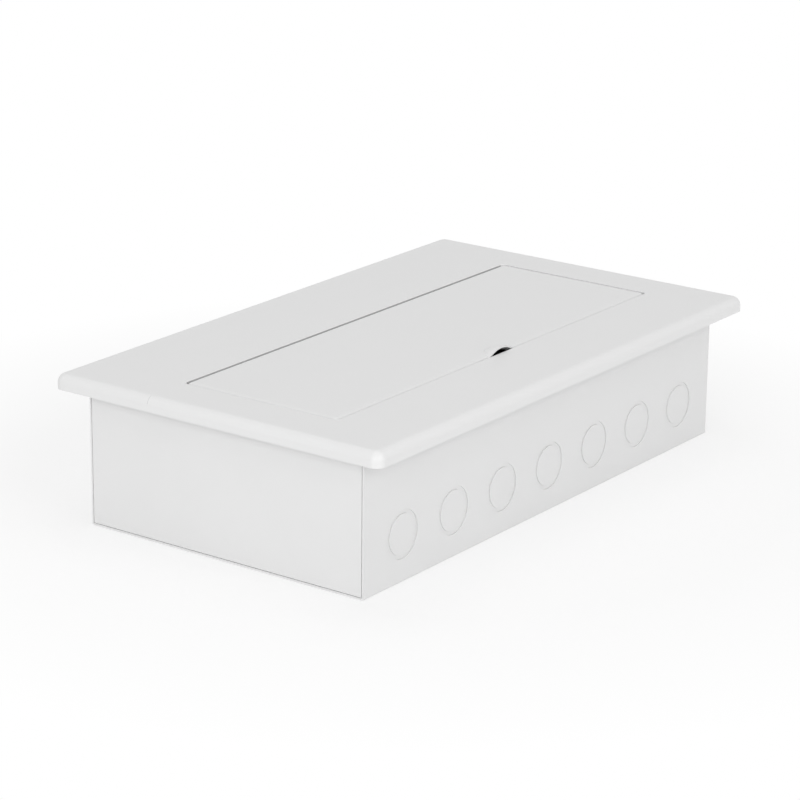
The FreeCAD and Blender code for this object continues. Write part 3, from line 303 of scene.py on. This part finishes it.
def plated(name, colour, roughness, line_mm=0.25):
    """Plated or drawn metal: fine lines and small clouds of tarnish."""
    finish = Finish(name)
    line = finish.grain(line_mm, place=finish.stretched(squeeze=(1, 1, 0.08)))
    cloud = finish.grain(size_mm=6, detail=3.0)
    tone = finish.tinted(colour, darkest=0.86, lightest=1.06,
                         share=mingled(cloud, line, share=0.3))
    cloud_roughness, line_roughness = 0.14, 0.08
    return finish.surface(
        Base_Color=tone, Metallic=1.0,
        Roughness=cloud * cloud_roughness + line * line_roughness + roughness,
        Normal=finish.relief(line, depth_mm=0.004))


def clear_sheet(name, colour, alpha):
    """A clear moulded lid with faint rub marks."""
    finish = Finish(name)
    rub = finish.grain(size_mm=0.6, detail=3.0, place=finish.stretched(squeeze=(0.05, 1, 1)))
    haze = finish.grain(size_mm=25)
    roughness, rub_roughness, haze_roughness, haze_alpha = 0.05, 0.10, 0.05, 0.05
    return finish.surface(
        Base_Color=finish.tinted(colour, darkest=0.95, lightest=1.03, share=haze),
        Roughness=rub * rub_roughness + haze * haze_roughness + roughness,
        Alpha=haze * haze_alpha + alpha - haze_alpha / 2,
        Normal=finish.relief(rub, depth_mm=0.004), IOR=1.49)


finishes = {
    "painted_steel": powder_coat("white_powder_coat", WHITE),
    # The cover's finish carries painted shade on the wall of the door's hinge gap.
    "cover_plastic": moulded("cover_moulding", WHITE, roughness=0.40, grain_mm=0.45,
                             depth_mm=0.012, painted_shade=hinge_gap_painted_shade),
    "door_plastic": moulded("door_moulding", WHITE, roughness=0.40, grain_mm=0.45,
                            depth_mm=0.012),
    "zinc_steel": plated("zinc_plated_sheet", (0.62, 0.63, 0.64), roughness=0.26),
    "galvanised_steel": galvanised("galvanised_sheet", (0.60, 0.61, 0.62)),
    "zinc_fixings": plated("zinc_plated_fixings", (0.66, 0.66, 0.67), roughness=0.20),
    "bright_steel": plated("bright_drawn_steel", (0.72, 0.72, 0.73), roughness=0.10),
    "ferrite": moulded("ferrite_magnet", (0.035, 0.035, 0.037), roughness=0.55, grain_mm=0.3,
                       depth_mm=0.02, spread=0.15),
    "adapter_plastic": moulded("blue_adapter_moulding", (0.022, 0.130, 0.420), roughness=0.30,
                               grain_mm=0.4, depth_mm=0.008, spread=0.05),
    "cap_plastic": moulded("dust_cap_moulding", (0.70, 0.72, 0.73), roughness=0.28,
                           grain_mm=0.5, depth_mm=0.006, spread=0.02),
    "tray_plastic": moulded("splice_tray_moulding", (0.56, 0.57, 0.58), roughness=0.42,
                            grain_mm=0.45, depth_mm=0.012, spread=0.02),
    "clear_plastic": clear_sheet("clear_lid", (0.78, 0.82, 0.84), alpha=0.30),
    "comb_rubber": moulded("splice_comb_rubber", (0.022, 0.022, 0.023), roughness=0.62,
                           grain_mm=0.4, depth_mm=0.02, spread=0.12),
    "rubber": moulded("rest_rubber", (0.030, 0.030, 0.031), roughness=0.66, grain_mm=0.4,
                      depth_mm=0.02, spread=0.12),
    "spool_plastic": moulded("spool_moulding", (0.70, 0.70, 0.68), roughness=0.42,
                             grain_mm=0.45, depth_mm=0.012, spread=0.02),
    "nylon": moulded("natural_nylon", (0.70, 0.69, 0.63), roughness=0.38, grain_mm=0.5,
                     depth_mm=0.01, spread=0.03),
    "brass": plated("turned_brass", (0.66, 0.47, 0.17), roughness=0.18, line_mm=0.2),
}


# ---------------------------------------------------------------- pieces

SEAM = 0.002 * MM
SMOOTH_BELOW = math.radians(20)
ROUND_NODES = (
    "base_box", "end_plate_left", "end_plate_right", "front_cover", "door", "door_lift",
    "slack_spools", "cable_saddles", "splice_tray", "strength_posts", "door_hinge_pins",
    "tray_hinge_pin", "tray_rests", "cover_screws", "panel_screws", "spool_screws",
    "saddle_screws", "tray_bracket_screws", "strength_screws", "earth_stud", "bracket_studs",
    "plate_studs", "plate_washers", "earth_washer_lower", "earth_washer_upper",
    "front_dust_caps", "rear_dust_caps",
)


def round_copy(node):
    """The same piece with its seams joined, so that its curves shade as curves."""
    mesh = nodes[node].data.copy()
    mesh.name = node + ".shell"
    shell = bmesh.new()
    shell.from_mesh(mesh)
    bmesh.ops.remove_doubles(shell, verts=shell.verts, dist=SEAM)
    for face in shell.faces:
        face.smooth = True
    for edge in shell.edges:
        edge.smooth = len(edge.link_faces) == 2 and edge.calc_face_angle(0) < SMOOTH_BELOW
    shell.to_mesh(mesh)
    shell.free()
    piece = bpy.data.objects.new(node + ".shell", mesh)
    bpy.context.scene.collection.objects.link(piece)
    weighted = piece.modifiers.new("flat_faces_lead", "WEIGHTED_NORMAL")
    weighted.mode = "FACE_AREA"
    weighted.keep_sharp = True
    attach(piece, body_of[node])
    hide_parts(node)
    return piece


def coated(piece, material):
    piece.data.materials.clear()
    piece.data.materials.append(material)


for node in sorted(nodes):
    piece = round_copy(node) if node in ROUND_NODES else nodes[node]
    coated(piece, finishes[slot_of[node]])


# ---------------------------------------------------------------- studio

BACKDROP_WHITE = (1, 1, 1)
PAPER_WHITE = (0.93, 0.93, 0.93)
FLOOR_HALF = 30.0
FLOOR_DROP = 0.2 * MM

# How far from the origin the floor fades to plain white, and its share of white before and
# after that.
GLOW_FROM, GLOW_TO = 0.25, 0.44
GLOW_NEAR, GLOW_FAR = 0.66, 1.0

SKY_STRENGTH = 0.56
LAMP_AIM = Vector((0, 0, 0.05))

CAMERA_TURN = math.radians(-53.962)
CAMERA_RISE = math.radians(18.041)
CAMERA_ROLL = math.radians(0.553)
CAMERA_AIM = Vector((0.127604, 0.103803, 0))
CAMERA_AWAY = 2.19693
CAMERA_LENS_MM = 138.036
CAMERA_SENSOR_MM = 36


def floor_paper():
    """White paper that keeps a soft shadow beside the enclosure and fades to plain white."""
    finish = Finish("studio_white")
    paper = finish.add("ShaderNodeBsdfDiffuse", sockets={"Color": PAPER_WHITE})
    glow = finish.add("ShaderNodeEmission", sockets={"Color": BACKDROP_WHITE, "Strength": 1.0})
    away = finish.add("ShaderNodeVectorMath", {"operation": "LENGTH"}, {0: finish.place})
    share = finish.add("ShaderNodeMapRange", {"clamp": True},
                       {"Value": away.outputs["Value"],
                        "From Min": GLOW_FROM, "From Max": GLOW_TO,
                        "To Min": GLOW_NEAR, "To Max": GLOW_FAR})
    shown = finish.seen_directly() * Level(finish, share.outputs["Result"])
    finish.add("ShaderNodeOutputMaterial",
               sockets={"Surface": finish.shaders_mixed(shown, paper, glow)})
    return finish.material


def studio_floor():
    slab = bmesh.new()
    bmesh.ops.create_grid(slab, x_segments=1, y_segments=1, size=FLOOR_HALF)
    bmesh.ops.translate(slab, verts=slab.verts, vec=(0, 0, cad_box[0][Z] - FLOOR_DROP))
    mesh = bpy.data.meshes.new("floor")
    slab.to_mesh(mesh)
    slab.free()
    floor = bpy.data.objects.new("floor", mesh)
    bpy.context.scene.collection.objects.link(floor)
    coated(floor, floor_paper())


def studio_sky():
    """Even light from all round, and plain white wherever the sky itself is seen."""
    world = bpy.data.worlds.new("studio_sky")
    graph = Graph(world)
    ambient = graph.add("ShaderNodeBackground",
                        sockets={"Color": BACKDROP_WHITE, "Strength": SKY_STRENGTH})
    backdrop = graph.add("ShaderNodeBackground",
                         sockets={"Color": BACKDROP_WHITE, "Strength": 1.0})
    sky = graph.shaders_mixed(graph.seen_directly(), ambient, backdrop)
    graph.add("ShaderNodeOutputWorld", sockets={"Surface": sky})
    bpy.context.scene.world = world


def soft_lamp(name, place, size, power):
    """A large square lamp that looks at the middle of the enclosure."""
    data = bpy.data.lights.new(name, "AREA")
    data.size = size
    data.energy = power
    lamp = bpy.data.objects.new(name, data)
    lamp.location = place
    lamp.rotation_euler = (LAMP_AIM - lamp.location).to_track_quat("-Z", "Y").to_euler()
    bpy.context.scene.collection.objects.link(lamp)


def studio_camera():
    """A long lens off the enclosure's -X, -Y corner, a little above it and rolled slightly."""
    turn_cos, turn_sin = math.cos(CAMERA_TURN), math.sin(CAMERA_TURN)
    rise_cos, rise_sin = math.cos(CAMERA_RISE), math.sin(CAMERA_RISE)
    roll_cos, roll_sin = math.cos(CAMERA_ROLL), math.sin(CAMERA_ROLL)
    back = Vector((turn_sin * rise_cos, -turn_cos * rise_cos, rise_sin))
    side = Vector((turn_cos, turn_sin, 0))
    upward = back.cross(side)
    across = side * roll_cos + upward * roll_sin
    above = upward * roll_cos - side * roll_sin
    data = bpy.data.cameras.new("studio_camera")
    data.lens = CAMERA_LENS_MM
    data.sensor_width = CAMERA_SENSOR_MM
    camera = bpy.data.objects.new("studio_camera", data)
    turned = Matrix((across, above, back)).transposed().to_4x4()
    camera.matrix_world = Matrix.Translation(CAMERA_AIM + back * CAMERA_AWAY) @ turned
    bpy.context.scene.collection.objects.link(camera)
    bpy.context.scene.camera = camera


studio_floor()
studio_sky()
soft_lamp("left_lamp", place=(-2.6, -0.6, 1.0), size=1.8, power=27)
soft_lamp("front_lamp", place=(-0.4, -2.8, 1.2), size=1.8, power=25)
soft_lamp("top_lamp", place=(0.3, 0.4, 2.8), size=2.2, power=14)
studio_camera()
bpy.context.scene.view_settings.view_transform = "Standard"
